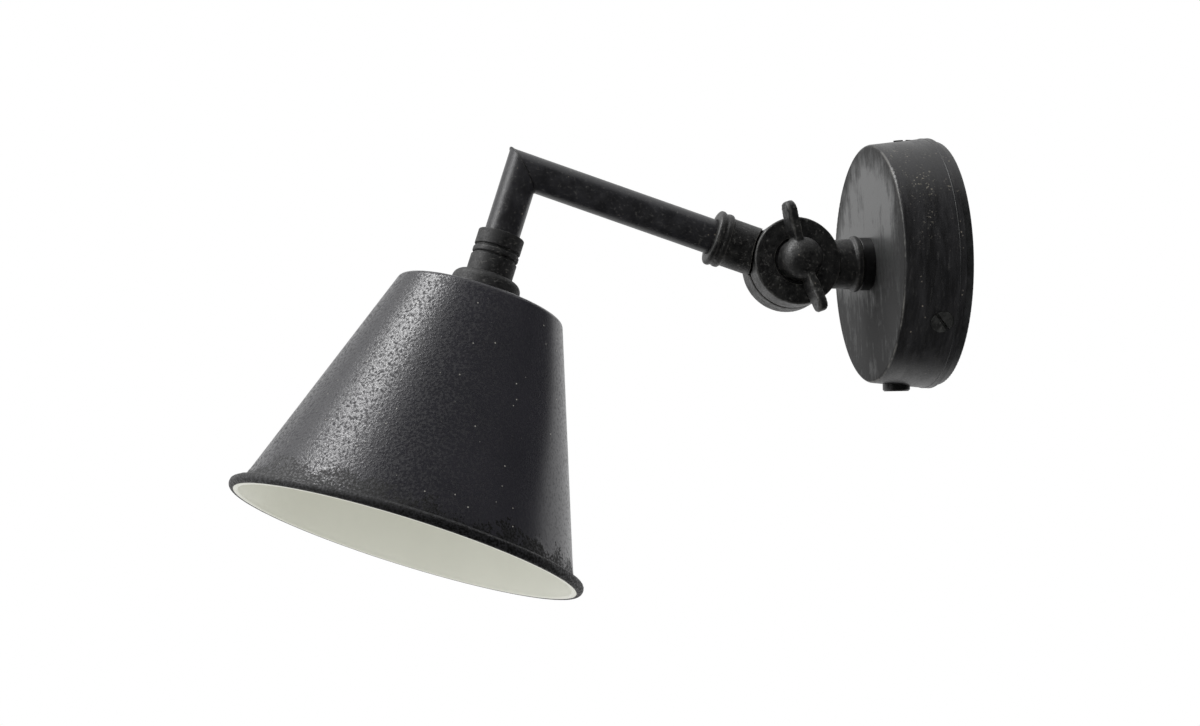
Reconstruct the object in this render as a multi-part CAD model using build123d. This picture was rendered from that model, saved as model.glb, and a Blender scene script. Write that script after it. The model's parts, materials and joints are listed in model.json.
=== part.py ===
from build123d import *
import math
import os

# Adjustable wall lamp: a round rose, a swivelling stem, a knuckle clamped by a wing nut, a tube arm with a
# mitred elbow and a conical shade. Millimetres, +Z up. The origin is the centre of the backplate's back face,
# the wall lies in the XZ plane with its outward side towards -Y, and the knuckle's pivot runs along X.

# ---- Rose: the backplate and its cover -------------------------------------------------------------------
plate_radius = 55.5
plate_thickness = 4.0
plate_edge_round = 0.8
cable_entry_radius = 10.0
wall_slot_spacing = 70.0
wall_slot_length = 12.0
wall_slot_width = 5.0
cover_rear_radius = 57.0
cover_front_radius = 54.0
cover_depth = 27.5
cover_wall = 2.5
cover_face = 2.5
cover_edge_round = 1.6
rose_clock = -7.0               # turn of the rose's screws and button on the wall, from +X towards +Z
lug_angles = (90.0, -30.0, 210.0)
lug_width = 14.0
lug_depth = 8.0
lug_clearance = 0.3
lug_above_screw = 6.0
cover_screw_height = 13.1       # from the wall to the cover screws' axes
cover_screw_head_radius = 5.25
cover_screw_radius = 2.5
cover_screw_length = 13.0
screw_slot_width = 1.3
screw_slot_depth = 1.1
screw_clearance = 0.05
hole_clearance = 0.25
screw_point_gap = 0.3           # from the wall to the points of the screws in the backplate

# ---- Push switch in the underside of the rose ------------------------------------------------------------
switch_angle = -90.0
switch_height = 19.5
button_radius = 6.2
button_proud = 2.7
button_travel = 1.8
button_chamfer = 0.7
button_skirt = 6.0              # from the cover's inner wall to the bottom of the button's head
button_clearance = 0.2
plunger_radius = 3.0
plunger_length = 10.0
running_clearance = 0.05
switch_neck_radius = 5.0
switch_neck_proud = 0.6         # how far the neck stands out of its nut
switch_nut_across = 14.0
switch_nut_thickness = 2.0
switch_body_width = 13.0
switch_body_length = 18.0
bracket_thickness = 1.2
bracket_width = 16.0
bracket_foot = 12.0
small_screw_radius = 1.5
small_head_radius = 2.8
small_head_height = 1.8

# ---- Terminal block and earth screw ----------------------------------------------------------------------
block_width = 32.0
block_depth = 17.0
block_height = 14.0
block_offset = 27.0             # from the wall axis to the block's middle
way_count = 3
way_pitch = 10.0
way_radius = 2.6
insert_wall = 0.9
insert_setback = 1.0            # of the inserts' ends behind the block's faces
way_groove_width = 2.8
way_groove_depth = 2.5
block_screw_seat = 10.5         # of the fixing screw's head over the backplate
well_radius = 1.9
terminal_screw_radius = 1.7
terminal_screw_spacing = 9.0
terminal_screw_bite = 0.6       # of the screws' points past the ways' middles
terminal_screw_sunk = 1.0       # of the screws' tops under the block's top
terminal_slot_width = 0.7
terminal_slot_depth = 0.8
earth_place = (-24.0, -24.0)
earth_screw_radius = 2.0
earth_head_radius = 3.8
earth_head_height = 2.4
earth_washer_radius = 4.5
earth_washer_thickness = 0.8

# ---- Stem: swivel nipple, collar and nuts ----------------------------------------------------------------
nipple_radius = 5.0
nipple_bore = 3.5
nipple_in_rose = 9.0            # how far the nipple reaches behind the cover's face
nipple_in_stem = 9.5
end_gap = 0.5                   # left past the end of a tube or a nipple in its socket
collar_radius = 12.0
collar_length = 5.4
collar_edge = 0.5
swivel_washer_radius = 9.5
swivel_washer_thickness = 1.0
swivel_nut_across = 15.0
swivel_nut_thickness = 4.5

# ---- Knuckle ----------------------------------------------------------------------------------------------
pivot_out = 68.0                # from the wall to the knuckle's pivot
knuckle_radius = 20.0
knuckle_half = 11.8             # thickness of one half's disc
friction_thickness = 0.8
knuckle_edge_round = 1.0
knuckle_parting_chamfer = 0.9
knuckle_clearance = 0.6         # round the other half's disc
socket_radius = 11.1
stem_mouth_radius = 11.5
stem_bead_radius = 12.8
stem_bead_width = 3.4
socket_length = 38.8            # from the pivot to the arm socket's mouth
socket_bead_radii = (12.4, 12.7)
socket_bead_width = 3.4
bead_gap = 0.3
recess_radius = 10.7
recess_depth = 3.0
wire_pocket_radius = 13.5
wire_pocket_depth = 5.5
bolt_boss_radius = 7.0
bolt_radius = 5.0
bolt_neck_side = 10.0
bolt_neck_length = 3.0
bolt_head_radius = 9.5
bolt_head_height = 4.5
bolt_reach = 23.5               # the bolt's end, from the knuckle's middle plane
wire_bore = 4.0

# ---- Wing nut ---------------------------------------------------------------------------------------------
washer_radius = 10.3
washer_thickness = 1.5
hub_radius = 9.7
hub_length = 6.8
hub_dome = 10.0
wing_span = 51.0
wing_thickness = 4.0
wing_low = 2.4                  # from the seat to the ears' roots
wing_rise = 6.0                 # of the tips' lower edge over the roots
wing_over = 1.6                 # of the tips over the hub's top
wing_edge_round = 0.9
wing_angle = 15.5               # of the ears from the vertical, the upper one towards the shade
thread_depth = 14.0

# ---- Arm --------------------------------------------------------------------------------------------------
arm_angle = 19.8                # of the arm above the level
arm_length = 129.5              # from the pivot to the elbow's corner
tube_radius = 8.0
tube_wall = 1.2
tube_in_socket = 16.0

# ---- Coupler, cap and shade, all measured down the drop tube's axis from the elbow's corner -----------------
coupler_top = 31.2
coupler_radius = 10.5
coupler_ring = 6.9
coupler_groove = 1.0
coupler_groove_depth = 0.9
coupler_bead = 2.8
coupler_sleeve = 8.1
tube_in_coupler = 12.0
cap_length = 11.2
cap_shoulder_radius = 15.0
cap_shoulder_round = 4.2
cap_foot_radius = 16.6
cap_lip_radius = 18.6
cap_lip = 1.2
shade_top_radius = 37.6
shade_rim_radius = 76.2
shade_height = 110.6            # from the top face to the middle of the rim's bead
shade_sheet = 1.0
shade_shoulder_round = 2.6
shade_bead_radius = 2.4
shade_bead_bite = 0.4           # how far the bead's round lies into the sheet

# ---- Lampholder ----------------------------------------------------------------------------------------------
holder_gap = 0.6
locknut_across = 17.0
locknut_thickness = 4.0
holder_cap_length = 15.0
holder_radius = 14.0
holder_cap_top_radius = 8.0
holder_wall = 1.8
holder_body_length = 27.0
holder_cap_shoulder = 0.55      # share of the cap's length that its shoulder takes
holder_draft = 0.4
insert_in_cap = 2.0             # how far the insert reaches up into the cap
insert_sunk = 1.0               # of the insert's end inside the skirt's mouth
insert_clearance = 0.15
shell_radius = 7.0
shell_wall = 0.45
shell_length = 16.0
shell_gap = 2.0                 # from the insert's floor to the shell's inner end
contact_radius = 2.6
contact_height = 1.5
holder_floor = 7.0              # thickness of the insert behind the shell

# ---- Places that follow from the sizes above --------------------------------------------------------------------
cover_top = plate_thickness + cover_depth
collar_top = cover_top + collar_length
stem_length = pivot_out - collar_top
parting = friction_thickness / 2
disc_face = parting + knuckle_half
recess_floor = disc_face - recess_depth
nut_seat = recess_floor + washer_thickness
coupler_bottom = coupler_top + coupler_ring + coupler_bead + coupler_sleeve + 2 * coupler_groove
shade_top = coupler_bottom + cap_length
shade_slope = (shade_rim_radius - shade_top_radius) / shade_height
holder_top = shade_top + shade_sheet + locknut_thickness + holder_gap
holder_middle = holder_top + holder_cap_length
holder_bottom = holder_middle + holder_body_length
insert_top = holder_middle - insert_in_cap
insert_floor = insert_top + holder_floor
way_height = block_height / 2
countersink = cover_screw_head_radius - cover_screw_radius
tilt = math.radians(arm_angle)
arm_way = Vector(0, -math.cos(tilt), math.sin(tilt))
drop_way = Vector(0, -math.sin(tilt), -math.cos(tilt))
pivot = Vector(0, -pivot_out, 0)
elbow = pivot + arm_way * arm_length

wall_frame = Plane(origin=(0, 0, 0), x_dir=(1, 0, 0), z_dir=(0, -1, 0))
stem_frame = Plane(origin=pivot, x_dir=(1, 0, 0), z_dir=(0, 1, 0))
arm_frame = Plane(origin=pivot, x_dir=(1, 0, 0), z_dir=arm_way)
drop_frame = Plane(origin=elbow, x_dir=(1, 0, 0), z_dir=drop_way)


def side_frame(angle, height):
    """The rose's sideways frame: Z points out from the wall axis at this clock angle, X away from the wall."""
    turn = math.radians(angle + rose_clock)
    return Plane(origin=(0, -height, 0), x_dir=(0, -1, 0), z_dir=(math.cos(turn), 0, math.sin(turn)))


def pivot_frame(side):
    """The knuckle's frame on one side: Z points out along the pivot, to +X for 1 and to -X for -1."""
    return Plane(origin=pivot, x_dir=(0, 1, 0), z_dir=(side, 0, 0))


def turned(*corners):
    """A turned piece on its own Z axis, from half-section corners given as radius, height and rounding."""
    points = [(radius, height) for radius, height, _ in corners]
    outline = FilletPolyline(*points, radius=[rounding for *_, rounding in corners], close=True)
    return revolve(Plane.XZ * make_face(outline.edges()), axis=Axis.Z)


def bead_round(height, width):
    """The rounding that makes a raised ring of this height and width a bead."""
    return 0.9 * min(height, width / 2)


def rod(radius, low, high):
    """A plain round bar on the local Z axis."""
    return Pos(0, 0, (low + high) / 2) * Cylinder(radius, high - low)


def hexagon(across, bore, low, high):
    """A hexagonal nut with a plain bore."""
    blank = extrude(RegularPolygon(across / 2, 6, major_radius=False), amount=high - low)
    return Pos(0, 0, low) * blank - rod(bore, low - 1, high + 1)


def block(width, depth, low, high):
    """A box on the local Z axis."""
    return Pos(0, 0, (low + high) / 2) * Box(width, depth, high - low)


def slotted_screw(head_radius, head_height, radius, low, seat, countersunk=False):
    """A slotted screw on the local Z axis with its point at low and its head from seat upwards."""
    top = seat + head_height
    shank = [(0, low, 0), (radius, low, 0), (radius, seat, 0)]
    flat = [] if countersunk else [(head_radius, seat, 0)]
    head = [(head_radius, top, 0), (0, top, 0)]
    slot = block(3 * head_radius, screw_slot_width, top - screw_slot_depth, top + 1)
    return turned(*shank, *flat, *head) - slot


# ---- Rose ---------------------------------------------------------------------------------------------------------
def cover_radius(height):
    """The cover's outer radius at this height over the wall."""
    share = (height - plate_thickness) / cover_depth
    return cover_rear_radius + (cover_front_radius - cover_rear_radius) * share


def rose_cover():
    """A turned cup with draft, open at the wall, with the swivel hole, three screw holes and the button hole."""
    bore = nipple_radius + running_clearance
    cup = turned(
        (cover_rear_radius, plate_thickness, 0),
        (cover_front_radius, cover_top, cover_edge_round),
        (bore, cover_top, 0),
        (bore, cover_top - cover_face, 0),
        (cover_front_radius - cover_wall, cover_top - cover_face, cover_edge_round),
        (cover_rear_radius - cover_wall, plate_thickness, 0),
    )
    cover = wall_frame * cup
    for angle in lug_angles:
        cover -= side_frame(angle, cover_screw_height) * countersunk_hole(hole_clearance, screw_clearance)
    cover -= side_frame(switch_angle, switch_height) * rod(
        button_radius + button_clearance, cover_radius(switch_height) / 2, cover_rear_radius + 1)
    return cover


def countersunk_hole(shank_gap, head_gap):
    """The hole round a cover screw, larger than its shank and its head by these gaps."""
    face = cover_radius(cover_screw_height)
    shank = cover_screw_radius + shank_gap
    head = cover_screw_head_radius + head_gap
    depth = head - shank
    return turned((0, face / 2, 0), (shank, face / 2, 0), (shank, face - depth, 0),
                  (head, face, 0), (head, face + 2, 0), (0, face + 2, 0))


def backplate():
    """The wall disc with three tapped lugs for the cover, two wall-screw slots and the cable entry."""
    disc = turned(
        (cable_entry_radius, 0, 0),
        (plate_radius, 0, plate_edge_round),
        (plate_radius, plate_thickness, 0),
        (cable_entry_radius, plate_thickness, 0),
    )
    plate = wall_frame * disc
    lug_top = cover_screw_height + lug_above_screw
    inside = turned(
        (0, 0, 0),
        (cover_radius(0) - cover_wall - lug_clearance, 0, 0),
        (cover_radius(lug_top) - cover_wall - lug_clearance, lug_top, 0),
        (0, lug_top, 0),
    )
    inner = cover_radius(lug_top) - cover_wall - lug_clearance - lug_depth
    lug = block(lug_top - plate_thickness, lug_width, inner, cover_rear_radius)
    for angle in lug_angles:
        raised = side_frame(angle, (plate_thickness + lug_top) / 2) * lug
        plate += raised & (wall_frame * inside)
    for angle in lug_angles:
        plate -= side_frame(angle, cover_screw_height) * countersunk_hole(screw_clearance, hole_clearance)
    slot = extrude(SlotOverall(wall_slot_length, wall_slot_width), amount=plate_thickness)
    for side in (-1, 1):
        plate -= wall_frame * Pos(side * wall_slot_spacing / 2, 0, 0) * slot
    tapped = rod(earth_screw_radius + screw_clearance, 0, plate_thickness)
    plate -= wall_frame * Pos(*earth_place, 0) * tapped
    plate -= block_frame() * Pos(way_pitch / 2, 0, 0) * rod(
        small_screw_radius + screw_clearance, -plate_thickness, 0)
    plate -= bracket_hole_frame() * rod(small_screw_radius + screw_clearance, -plate_thickness, 0)
    return plate


def cover_screws():
    """Three slotted countersunk screws, flush with the cover's side."""
    face = cover_radius(cover_screw_height)
    seat = face - countersink
    screws = []
    for angle in lug_angles:
        screw = slotted_screw(cover_screw_head_radius, countersink, cover_screw_radius,
                              face - cover_screw_length, seat, countersunk=True)
        screws.append(side_frame(angle, cover_screw_height) * Rot(0, 0, 45) * screw)
    return Compound(children=screws)


# ---- Terminal block and earth ----------------------------------------------------------------------------------------
def way_places():
    """The middle of each way of the terminal block, along X."""
    return [(index - (way_count - 1) / 2) * way_pitch for index in range(way_count)]


def block_frame():
    return Plane(origin=(0, -plate_thickness, block_offset), x_dir=(1, 0, 0), z_dir=(0, -1, 0))


def cross_bar(radius, length, x, height):
    """A round bar that lies across the block, along the rose's radius."""
    return Pos(x, 0, height) * Rot(90, 0, 0) * Cylinder(radius, length)


def terminal_block():
    """A moulded block with a bore and two screw wells for each way, and a hole for its fixing screw."""
    body = block(block_width, block_depth, 0, block_height)
    for x in way_places():
        body -= cross_bar(way_radius, block_depth + 2, x, way_height)
        for side in (-1, 1):
            y = side * terminal_screw_spacing / 2
            body -= Pos(x, y, 0) * rod(well_radius, way_height, block_height + 1)
    for x in (-way_pitch / 2, way_pitch / 2):
        body -= Pos(x, 0, block_height) * Box(way_groove_width, block_depth + 2, 2 * way_groove_depth)
    fixing = rod(small_screw_radius + hole_clearance, -1, block_height)
    fixing += rod(small_head_radius + hole_clearance, block_screw_seat, block_height + 1)
    return block_frame() * (body - Pos(way_pitch / 2, 0, 0) * fixing)


def terminal_inserts():
    """A brass sleeve in each way, tapped for its two screws."""
    sleeves = []
    for x in way_places():
        sleeve = cross_bar(way_radius - running_clearance, block_depth - 2 * insert_setback, x, way_height)
        sleeve -= cross_bar(way_radius - insert_wall, block_depth, x, way_height)
        for side in (-1, 1):
            y = side * terminal_screw_spacing / 2
            sleeve -= Pos(x, y, 0) * rod(terminal_screw_radius + running_clearance, way_height, block_height)
        sleeves.append(block_frame() * sleeve)
    return Compound(children=sleeves)


def terminal_screws():
    """Two grub screws for each way."""
    screws = []
    for x in way_places():
        for side in (-1, 1):
            y = side * terminal_screw_spacing / 2
            top = block_height - terminal_screw_sunk
            grub = rod(terminal_screw_radius, way_height + terminal_screw_bite, top)
            grub -= Pos(0, 0, top) * Box(4 * terminal_screw_radius, terminal_slot_width, 2 * terminal_slot_depth)
            screws.append(block_frame() * Pos(x, y, 0) * grub)
    return Compound(children=screws)


def earth_screw():
    """The earth terminal: a slotted cheese-head screw in the backplate."""
    seat = plate_thickness + earth_washer_thickness
    return wall_frame * Pos(*earth_place, 0) * slotted_screw(
        earth_head_radius, earth_head_height, earth_screw_radius, screw_point_gap, seat)


def earth_washer():
    low = plate_thickness
    ring = rod(earth_washer_radius, low, low + earth_washer_thickness)
    ring -= rod(earth_screw_radius + hole_clearance, 0, low + 2)
    return wall_frame * Pos(*earth_place, 0) * ring


# ---- Push switch -------------------------------------------------------------------------------------------------------
def button_floor():
    """The bottom of the button's head, from the wall axis."""
    return cover_radius(switch_height) - cover_wall - button_skirt


def neck_top():
    return button_floor() - button_travel - hole_clearance


def bracket_face():
    """The outer face of the bracket's upright plate, from the wall axis."""
    return neck_top() - switch_neck_proud - switch_nut_thickness


def switch_button():
    """The button: a round cap with a chamfered edge, on a plunger that runs in the switch's neck."""
    top = cover_radius(switch_height) + button_proud
    floor = button_floor()
    cap = turned(
        (0, floor, 0),
        (button_radius, floor, 0),
        (button_radius, top - button_chamfer, 0),
        (button_radius - button_chamfer, top, 0),
        (0, top, 0),
    )
    return side_frame(switch_angle, switch_height) * (cap + rod(plunger_radius, floor - plunger_length, floor))


def switch_body():
    """The switch's housing with its threaded neck and the plunger's bore."""
    face = bracket_face() - bracket_thickness
    body = block(switch_body_width, switch_body_width, face - switch_body_length, face)
    body += rod(switch_neck_radius, face, neck_top())
    floor = button_floor() - plunger_length - button_travel - hole_clearance
    body -= rod(plunger_radius + running_clearance, floor, neck_top() + 1)
    return side_frame(switch_angle, switch_height) * body


def switch_nut():
    low = bracket_face()
    return side_frame(switch_angle, switch_height) * hexagon(
        switch_nut_across, switch_neck_radius + running_clearance, low, low + switch_nut_thickness)


def bracket_hole_frame():
    """The bracket's fixing hole: Z points away from the wall, at the backplate's front face."""
    place = side_frame(switch_angle, 0)
    middle = place.origin + place.z_dir * (bracket_face() - bracket_foot + small_head_radius + 1)
    return Plane(origin=middle + Vector(0, -plate_thickness, 0), x_dir=(1, 0, 0), z_dir=(0, -1, 0))


def switch_bracket():
    """A bent steel angle: one leg on the backplate, the other across the switch's neck."""
    outer = bracket_face()
    rise = switch_height + bracket_width / 2
    upright = Pos((plate_thickness + rise) / 2, 0, 0) * block(
        rise - plate_thickness, bracket_width, outer - bracket_thickness, outer)
    foot = Pos(plate_thickness + bracket_thickness / 2, 0, 0) * block(
        bracket_thickness, bracket_width, outer - bracket_foot, outer)
    hole = Pos(switch_height, 0, 0) * rod(
        switch_neck_radius + hole_clearance, outer - 2 * bracket_thickness, outer + 1)
    angle = side_frame(switch_angle, 0) * (upright + foot - hole)
    return angle - bracket_hole_frame() * rod(small_screw_radius + hole_clearance, -1, plate_thickness)


def fixing_screws():
    """The two small pan-head screws that hold the switch bracket and the terminal block."""
    low = screw_point_gap - plate_thickness
    screws = []
    for place, seat in ((bracket_hole_frame(), bracket_thickness),
                        (block_frame() * Pos(way_pitch / 2, 0, 0), block_screw_seat)):
        screws.append(place * slotted_screw(
            small_head_radius, small_head_height, small_screw_radius, low, seat))
    return Compound(children=screws)


# ---- Stem -----------------------------------------------------------------------------------------------------------------
def rose_collar():
    """The turned ring between the rose and the stem."""
    bore = nipple_radius + running_clearance
    return wall_frame * turned(
        (bore, cover_top, 0),
        (collar_radius, cover_top, 0),
        (collar_radius, collar_top, collar_edge),
        (bore, collar_top, 0),
    )


def swivel_nipple():
    """The hollow threaded tube that the arm swivels on and the leads run through."""
    low = cover_top - nipple_in_rose
    high = collar_top + nipple_in_stem
    return wall_frame * (rod(nipple_radius, low, high) - rod(nipple_bore, low - 1, high + 1))


def swivel_washer():
    high = cover_top - cover_face
    ring = rod(swivel_washer_radius, high - swivel_washer_thickness, high)
    return wall_frame * (ring - rod(nipple_radius + running_clearance, 0, high + 1))


def swivel_nut():
    high = cover_top - cover_face - swivel_washer_thickness
    return wall_frame * hexagon(swivel_nut_across, nipple_radius + running_clearance,
                                high - swivel_nut_thickness, high)


# ---- Knuckle ---------------------------------------------------------------------------------------------------------------
def knuckle_half_solid(side, stub):
    """One half: a disc on its own side of the parting plane, joined to its stub and cut clear of the other disc."""
    frame = pivot_frame(side)
    disc = turned(
        (0, parting, 0),
        (knuckle_radius, parting, knuckle_parting_chamfer),
        (knuckle_radius, disc_face, knuckle_edge_round),
        (0, disc_face, 0),
    )
    half = frame * disc + stub
    half -= frame * rod(knuckle_radius + knuckle_clearance, -2 * knuckle_half, parting)
    half -= frame * rod(recess_radius, recess_floor, disc_face + 1)
    pocket = rod(wire_pocket_radius, parting - 1, parting + wire_pocket_depth)
    half -= frame * (pocket - rod(bolt_boss_radius, parting - 2, disc_face))
    return half


def knuckle_wall_half():
    """The near half, with the stem that stands on the rose."""
    bead = stem_length - stem_bead_width
    crown = bead_round(stem_bead_radius - stem_mouth_radius, stem_bead_width)
    stub = turned(
        (0, 0, 0),
        (socket_radius, 0, 0),
        (socket_radius, knuckle_radius, 0),
        (stem_mouth_radius, bead, 0),
        (stem_bead_radius, bead, crown),
        (stem_bead_radius, stem_length, crown),
        (0, stem_length, 0),
    )
    half = knuckle_half_solid(1, stem_frame * stub)
    half -= pivot_frame(1) * rod(bolt_radius + running_clearance, parting - 1, disc_face)
    half -= stem_frame * rod(nipple_radius + running_clearance, stem_length - nipple_in_stem - end_gap, stem_length + 1)
    half -= stem_frame * rod(wire_bore, bolt_boss_radius + 2, stem_length)
    return half


def knuckle_arm_half():
    """The far half, with the arm's socket and the two beads at its mouth."""
    inner, outer = socket_bead_radii
    outer_low = socket_length - socket_bead_width
    inner_high = outer_low - bead_gap
    inner_low = inner_high - socket_bead_width
    inner_crown = bead_round(inner - socket_radius, socket_bead_width)
    outer_crown = bead_round(outer - socket_radius, socket_bead_width)
    stub = turned(
        (0, 0, 0),
        (socket_radius, 0, 0),
        (socket_radius, inner_low, 0),
        (inner, inner_low, inner_crown),
        (inner, inner_high, inner_crown),
        (socket_radius, inner_high, 0),
        (socket_radius, outer_low, 0),
        (outer, outer_low, outer_crown),
        (outer, socket_length, outer_crown),
        (0, socket_length, 0),
    )
    half = knuckle_half_solid(-1, arm_frame * stub)
    half -= pivot_frame(-1) * rod(bolt_radius + running_clearance, parting - 1, disc_face)
    side = bolt_neck_side + 2 * running_clearance
    half -= pivot_frame(-1) * block(side, side, recess_floor - bolt_neck_length - 0.1, recess_floor + 1)
    half -= arm_frame * rod(tube_radius + running_clearance, socket_length - tube_in_socket - end_gap, socket_length + 1)
    half -= arm_frame * rod(wire_bore, bolt_boss_radius + 2, socket_length)
    return half


def friction_disc():
    """The fibre ring that the two halves grip between them."""
    ring = rod(knuckle_radius - knuckle_parting_chamfer - 0.2, -parting, parting)
    return pivot_frame(1) * (ring - rod(wire_pocket_radius + 0.3, -1, 1))


def pivot_bolt():
    """The clamping bolt: a low domed head in the far recess, a square neck and the threaded end."""
    seat = recess_floor
    head = turned(
        (0, seat, 0),
        (bolt_head_radius, seat, 0),
        (bolt_head_radius, seat + bolt_head_height, bolt_head_height * 0.7),
        (0, seat + bolt_head_height, 0),
    )
    neck = block(bolt_neck_side, bolt_neck_side, seat - bolt_neck_length, seat)
    shank = rod(bolt_radius, -bolt_reach, seat)
    return pivot_frame(-1) * (head + neck + shank)


def pressure_washer():
    ring = rod(washer_radius, recess_floor, nut_seat)
    return pivot_frame(1) * (ring - rod(bolt_radius + running_clearance, 0, nut_seat + 1))


def ear():
    """One ear of the wing nut, out from the nut's axis along X, with its long edges rounded."""
    tip = wing_span / 2
    root = nut_seat + wing_low
    top = nut_seat + hub_length + hub_dome
    outline = FilletPolyline(
        (0, root),
        (hub_radius, root),
        (0.66 * tip, root + 0.4 * wing_rise),
        (tip, root + wing_rise),
        (tip, top + wing_over),
        (0.62 * tip, top - wing_over),
        (0, top - 2.5 * wing_over),
        radius=[0, 3, 6, 4.2, 4.2, 8, 0], close=True)
    blade = extrude(Plane.XZ * make_face(outline.edges()), amount=wing_thickness)
    blade = Pos(0, wing_thickness / 2, 0) * blade
    rims = blade.faces().filter_by(Axis.Y).edges().filter_by(lambda edge: edge.center().X > wing_edge_round)
    return fillet(rims, wing_edge_round)


def wing_nut():
    """A domed hub with two ears, bored for the bolt."""
    top = nut_seat + hub_length + hub_dome
    hub = turned(
        (0, nut_seat, 0),
        (hub_radius, nut_seat, 0.5),
        (hub_radius, top, 0.93 * hub_dome),
        (0, top, 0),
    )
    ears = ear() + Rot(0, 0, 180) * ear()
    nut = hub + Rot(0, 0, 90 + wing_angle) * ears
    nut -= rod(bolt_radius + running_clearance, nut_seat - 1, nut_seat + thread_depth)
    return pivot_frame(1) * nut


# ---- Arm ----------------------------------------------------------------------------------------------------------------------
def mitre_plane():
    """The elbow's joint face: its normal points on down the drop tube."""
    return Plane(origin=elbow, x_dir=(1, 0, 0), z_dir=(arm_way + drop_way).normalized())


def tube(low, high):
    return rod(tube_radius, low, high) - rod(tube_radius - tube_wall, low - 1, high + 1)


def arm_tube():
    """The straight arm, cut at 45 degrees for the elbow."""
    straight = arm_frame * tube(socket_length - tube_in_socket, arm_length + 2 * tube_radius)
    return split(straight, bisect_by=mitre_plane(), keep=Keep.BOTTOM)


def drop_tube():
    """The short leg of the elbow, down into the coupler."""
    straight = drop_frame * tube(-2 * tube_radius, coupler_top + tube_in_coupler)
    return split(straight, bisect_by=mitre_plane(), keep=Keep.TOP)


def coupler():
    """A turned sleeve: a plain ring, two grooves with a bead between them, and the lower sleeve."""
    groove = coupler_radius - coupler_groove_depth
    ring_end = coupler_top + coupler_ring
    bead_low = ring_end + coupler_groove
    bead_high = bead_low + coupler_bead
    crown = bead_round(coupler_groove_depth, coupler_bead)
    sleeve = bead_high + coupler_groove
    tube_bore = tube_radius + running_clearance
    step = coupler_top + tube_in_coupler
    body = turned(
        (tube_bore, coupler_top, 0),
        (coupler_radius, coupler_top, 0.5),
        (coupler_radius, ring_end, 0.3),
        (groove, ring_end, 0),
        (groove, bead_low, 0),
        (coupler_radius, bead_low, crown),
        (coupler_radius, bead_high, crown),
        (groove, bead_high, 0),
        (groove, sleeve, 0),
        (coupler_radius, sleeve, 0.3),
        (coupler_radius, coupler_bottom, 0.4),
        (nipple_radius + running_clearance, coupler_bottom, 0),
        (nipple_radius + running_clearance, step, 0),
        (tube_bore, step, 0),
    )
    return drop_frame * body


def shade_cap():
    """The domed cap over the shade's top, with a thin lip at its foot."""
    bore = nipple_radius + running_clearance
    return drop_frame * turned(
        (bore, coupler_bottom, 0),
        (cap_shoulder_radius, coupler_bottom, cap_shoulder_round),
        (cap_foot_radius, shade_top - cap_lip, 0.8),
        (cap_lip_radius, shade_top - cap_lip, 0.4),
        (cap_lip_radius, shade_top, 0),
        (bore, shade_top, 0),
    )


def shade_wall(depth):
    """The shade's outer radius at this depth below its top face."""
    return shade_top_radius + shade_slope * depth


def shade():
    """The spun conical shade with its rolled bead, on its own axis from the top face down."""
    across = shade_sheet * math.sqrt(1 + shade_slope ** 2)
    foot = shade_height + shade_bead_radius
    bore = nipple_radius + hole_clearance
    wall = FilletPolyline(
        (bore, 0),
        (shade_top_radius, 0),
        (shade_wall(foot), foot),
        (shade_wall(foot) - across, foot),
        (shade_wall(shade_sheet) - across, shade_sheet),
        (bore, shade_sheet),
        radius=[0, shade_shoulder_round, 0, 0.6, shade_shoulder_round - shade_sheet, 0], close=True)
    bead_middle = shade_wall(shade_height) + shade_bead_radius - shade_bead_bite
    section = make_face(wall.edges())
    section += Pos(bead_middle, shade_height) * Circle(shade_bead_radius)
    low = shade_wall(shade_height) - across / 2
    section += Pos((low + bead_middle) / 2, shade_height + shade_bead_radius / 2) * Rectangle(
        bead_middle - low, shade_bead_radius)
    return drop_frame * Pos(0, 0, shade_top) * revolve(Plane.XZ * section, axis=Axis.Z)


# ---- Lampholder -----------------------------------------------------------------------------------------------------------------
def holder_nipple():
    """The hollow threaded tube that hangs the shade and the lampholder from the coupler."""
    low = coupler_top + tube_in_coupler + end_gap
    high = holder_top + holder_wall + 3
    return drop_frame * (rod(nipple_radius, low, high) - rod(nipple_bore, low - 1, high + 1))


def shade_locknut():
    low = shade_top + shade_sheet
    return drop_frame * hexagon(locknut_across, nipple_radius + running_clearance, low, low + locknut_thickness)


def holder_cap():
    """The lampholder's domed cap."""
    bore = nipple_radius + running_clearance
    inner = holder_radius - holder_wall
    shoulder = holder_top + holder_cap_shoulder * holder_cap_length
    roof = holder_top + 1.5 * holder_wall
    return drop_frame * turned(
        (bore, holder_top, 0),
        (holder_cap_top_radius, holder_top, 0.6),
        (holder_radius, shoulder, 3),
        (holder_radius, holder_middle, 0),
        (inner, holder_middle, 0),
        (inner, shoulder + 0.5, 2),
        (holder_cap_top_radius - holder_wall, roof, 0),
        (bore, roof, 0),
    )


def holder_body():
    """The lampholder's skirt."""
    inner = holder_radius - holder_wall
    return drop_frame * turned(
        (inner, holder_middle, 0),
        (holder_radius, holder_middle, 0),
        (holder_radius - holder_draft, holder_bottom, 0.6),
        (inner, holder_bottom, 0.4),
    )


def holder_insert():
    """The ceramic insert that carries the screw shell and the contact."""
    outer = holder_radius - holder_wall - insert_clearance
    body = rod(outer, insert_top, holder_bottom - insert_sunk)
    body -= rod(shell_radius + shell_wall + running_clearance, insert_floor, holder_bottom)
    body -= rod(contact_radius + running_clearance, insert_top - 1, insert_floor + 1)
    return drop_frame * body


def screw_shell():
    """The bulb's threaded shell, as a plain sleeve of its inner size."""
    low = insert_floor + shell_gap
    high = low + shell_length
    return drop_frame * (rod(shell_radius + shell_wall, low, high) - rod(shell_radius, low - 1, high + 1))


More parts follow.
